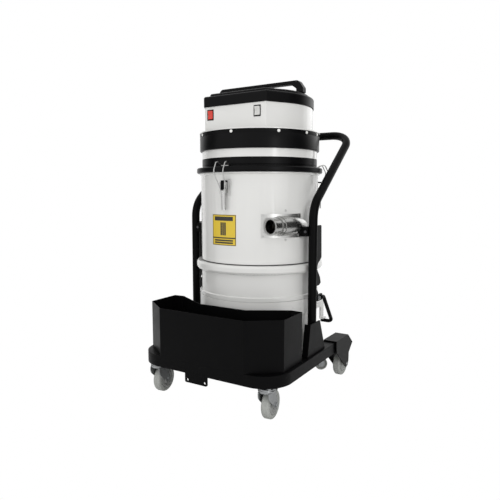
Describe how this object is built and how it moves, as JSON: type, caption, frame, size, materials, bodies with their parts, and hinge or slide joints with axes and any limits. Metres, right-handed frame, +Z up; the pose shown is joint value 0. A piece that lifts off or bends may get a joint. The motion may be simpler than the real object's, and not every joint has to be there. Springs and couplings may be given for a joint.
{
  "type": "shop vacuum",
  "caption": "Tall industrial shop vacuum with a roll-out dust container, tangential hose inlet, clamped motor head, tool basket and push handle on a wheeled frame.",
  "frame": {"origin": "on the floor under the middle of the machine's footprint", "axes": "+Z up, -Y the front with the tool basket and swivel casters, +X the side of the hose inlet"},
  "size_m": [0.612, 0.719, 1.168],
  "materials": {
    "white_paint": "gloss enamel",
    "black_coat": "satin powder coat",
    "yoke_paint": "gloss enamel",
    "black_plastic": "fine moulded grain",
    "zinc": "bright zinc plate",
    "grey_rubber": "light grey non-marking rubber",
    "chrome": "polished plate",
    "stainless": "brushed",
    "seal_rubber": "soft matt rubber",
    "yellow_label": "printed film with a plain symbol",
    "white_screws": "capped screw heads",
    "motor_metal": "cast and turned",
    "filter_cloth": "pleated needle felt",
    "red_rocker": "moulded",
    "pale_rocker": "moulded"
  },
  "bodies": {
    "chassis": {"band_screws": "white_screws", "bracket_bolts": "zinc", "cable_gland": "black_plastic", "carry_handle": "black_plastic", "caster_mounts": "zinc", "chamber_brackets": "black_coat", "chamber_gasket": "seal_rubber", "chamber_shell": "white_paint", "filter_cage": "stainless", "filter_flange": "black_plastic", "frame_tube": "black_coat", "head_band": "black_plastic", "head_collar": "white_paint", "head_lid": "black_plastic", "head_ring": "black_plastic", "inlet_deflector": "stainless", "inlet_pipe": "chrome", "inlet_plate": "stainless", "label_panel": "yellow_label", "latch_brackets": "black_coat", "motor_housing": "white_paint", "motor_left": "motor_metal", "motor_plate": "black_plastic", "motor_right": "motor_metal", "push_handle": "black_coat", "rail_gussets": "black_coat", "rear_axle_bolts": "zinc", "rocker_frames": "black_plastic", "side_plate_left": "black_coat", "side_plate_right": "black_coat", "squeegee_bracket": "black_coat", "star_filter": "filter_cloth", "tool_basket": "black_coat", "wheel_housing_left": "black_coat", "wheel_housing_right": "black_coat"},
    "front_fork_right": {"front_fork_right": "zinc"},
    "front_wheel_right": {"front_wheel_right": "grey_rubber"},
    "rear_wheel_right": {"rear_wheel_right": "grey_rubber"},
    "lift_lever_right": {"lift_lever_right": "black_coat"},
    "container_fork_right": {"container_fork_right": "zinc"},
    "container_rear_wheel_right": {"container_rear_wheel_right": "grey_rubber"},
    "container_front_wheel_right": {"container_front_wheel_right": "grey_rubber"},
    "front_fork_left": {"front_fork_left": "zinc"},
    "front_wheel_left": {"front_wheel_left": "grey_rubber"},
    "rear_wheel_left": {"rear_wheel_left": "grey_rubber"},
    "lift_lever_left": {"lift_lever_left": "black_coat"},
    "container_fork_left": {"container_fork_left": "zinc"},
    "container_rear_wheel_left": {"container_rear_wheel_left": "grey_rubber"},
    "container_front_wheel_left": {"container_front_wheel_left": "grey_rubber"},
    "lift_yoke": {"lift_yoke": "yoke_paint"},
    "container": {"container_shell": "white_paint", "container_base": "black_coat"},
    "latch_lever_front": {"latch_lever_front": "stainless"},
    "latch_bail_front": {"latch_bail_front": "stainless"},
    "latch_lever_rear_right": {"latch_lever_rear_right": "stainless"},
    "latch_bail_rear_right": {"latch_bail_rear_right": "stainless"},
    "latch_lever_rear_left": {"latch_lever_rear_left": "stainless"},
    "latch_bail_rear_left": {"latch_bail_rear_left": "stainless"},
    "rocker_red": {"rocker_red": "red_rocker"},
    "rocker_pale": {"rocker_pale": "pale_rocker"}
  },
  "joints": [
    {"name": "front_swivel_right", "type": "hinge", "parent": "chassis", "child": "front_fork_right", "pos_m": [0.234, -0.3065, 0.11], "axis": [0, 0, 1], "continuous": true},
    {"name": "front_roll_right", "type": "hinge", "parent": "front_fork_right", "child": "front_wheel_right", "pos_m": [0.23121, -0.27462, 0.05], "axis": [0.9962, 0.0872, 0], "continuous": true},
    {"name": "rear_roll_right", "type": "hinge", "parent": "chassis", "child": "rear_wheel_right", "pos_m": [0.2765, 0.2435, 0.05], "axis": [1, 0, 0], "continuous": true},
    {"name": "front_swivel_left", "type": "hinge", "parent": "chassis", "child": "front_fork_left", "pos_m": [-0.234, -0.3065, 0.11], "axis": [0, 0, 1], "continuous": true},
    {"name": "front_roll_left", "type": "hinge", "parent": "front_fork_left", "child": "front_wheel_left", "pos_m": [-0.23679, -0.27462, 0.05], "axis": [0.9962, 0.0872, 0], "continuous": true},
    {"name": "rear_roll_left", "type": "hinge", "parent": "chassis", "child": "rear_wheel_left", "pos_m": [-0.2765, 0.2435, 0.05], "axis": [1, 0, 0], "continuous": true},
    {"name": "lift_drop", "type": "slide", "parent": "chassis", "child": "lift_yoke", "axis": [0, 0, -1], "range_m": [0, 0.012]},
    {"name": "lift_lever_swing_right", "type": "hinge", "parent": "chassis", "child": "lift_lever_right", "pos_m": [0.273, 0.0085, 0.366], "axis": [1, 0, 0], "range_deg": [-6.6, 0]},
    {"name": "lift_lever_swing_left", "type": "hinge", "parent": "chassis", "child": "lift_lever_left", "pos_m": [-0.273, 0.0085, 0.366], "axis": [1, 0, 0], "range_deg": [-6.6, 0]},
    {"name": "container_roll_out", "type": "slide", "parent": "lift_yoke", "child": "container", "axis": [0, 1, 0], "range_m": [0, 0.6]},
    {"name": "container_swivel_right", "type": "hinge", "parent": "container", "child": "container_fork_right", "pos_m": [0.171, 0.2015, 0.08], "axis": [0, 0, 1], "continuous": true},
    {"name": "container_rear_roll_right", "type": "hinge", "parent": "container_fork_right", "child": "container_rear_wheel_right", "pos_m": [0.19885, 0.221, 0.038], "axis": [0.5736, -0.8192, 0], "continuous": true},
    {"name": "container_front_roll_right", "type": "hinge", "parent": "container", "child": "container_front_wheel_right", "pos_m": [0.15, -0.1065, 0.038], "axis": [1, 0, 0], "continuous": true},
    {"name": "container_swivel_left", "type": "hinge", "parent": "container", "child": "container_fork_left", "pos_m": [-0.171, 0.2015, 0.08], "axis": [0, 0, 1], "continuous": true},
    {"name": "container_rear_roll_left", "type": "hinge", "parent": "container_fork_left", "child": "container_rear_wheel_left", "pos_m": [-0.19885, 0.221, 0.038], "axis": [0.5736, 0.8192, 0], "continuous": true},
    {"name": "container_front_roll_left", "type": "hinge", "parent": "container", "child": "container_front_wheel_left", "pos_m": [-0.15, -0.1065, 0.038], "axis": [1, 0, 0], "continuous": true},
    {"name": "latch_lever_swing_front", "type": "hinge", "parent": "chassis", "child": "latch_lever_front", "pos_m": [-0.00636, -0.19942, 0.782], "axis": [-0.9997, 0.0262, 0], "range_deg": [0, 110]},
    {"name": "latch_bail_swing_front", "type": "hinge", "parent": "latch_lever_front", "child": "latch_bail_front", "pos_m": [-0.00636, -0.19942, 0.768], "axis": [-0.9997, 0.0262, 0], "range_deg": [-135, 0]},
    {"name": "latch_lever_swing_rear_right", "type": "hinge", "parent": "chassis", "child": "latch_lever_rear_right", "pos_m": [0.19149, 0.19311, 0.782], "axis": [0.6157, -0.788, 0], "range_deg": [0, 110]},
    {"name": "latch_bail_swing_rear_right", "type": "hinge", "parent": "latch_lever_rear_right", "child": "latch_bail_rear_right", "pos_m": [0.19149, 0.19311, 0.768], "axis": [0.6157, -0.788, 0], "range_deg": [-135, 0]},
    {"name": "latch_lever_swing_rear_left", "type": "hinge", "parent": "chassis", "child": "latch_lever_rear_left", "pos_m": [-0.19149, 0.19311, 0.782], "axis": [0.6157, 0.788, 0], "range_deg": [0, 110]},
    {"name": "latch_bail_swing_rear_left", "type": "hinge", "parent": "latch_lever_rear_left", "child": "latch_bail_rear_left", "pos_m": [-0.19149, 0.19311, 0.768], "axis": [0.6157, 0.788, 0], "range_deg": [-135, 0]},
    {"name": "rocker_red_tilt", "type": "hinge", "parent": "chassis", "child": "rocker_red", "pos_m": [-0.106, -0.1325, 1.041], "axis": [1, 0, 0], "range_deg": [-8, 0]},
    {"name": "rocker_pale_tilt", "type": "hinge", "parent": "chassis", "child": "rocker_pale", "pos_m": [0.096, -0.1325, 1.041], "axis": [1, 0, 0], "range_deg": [-8, 0]}
  ],
  "couplings": [
    {"joint": "lift_lever_swing_right", "follows": "lift_drop", "rad_per_m": -9.3},
    {"joint": "lift_lever_swing_left", "follows": "lift_drop", "rad_per_m": -9.3},
    {"joint": "latch_bail_swing_front", "follows": "latch_lever_swing_front", "ratio": -1.2},
    {"joint": "latch_bail_swing_rear_right", "follows": "latch_lever_swing_rear_right", "ratio": -1.2},
    {"joint": "latch_bail_swing_rear_left", "follows": "latch_lever_swing_rear_left", "ratio": -1.2}
  ]
}
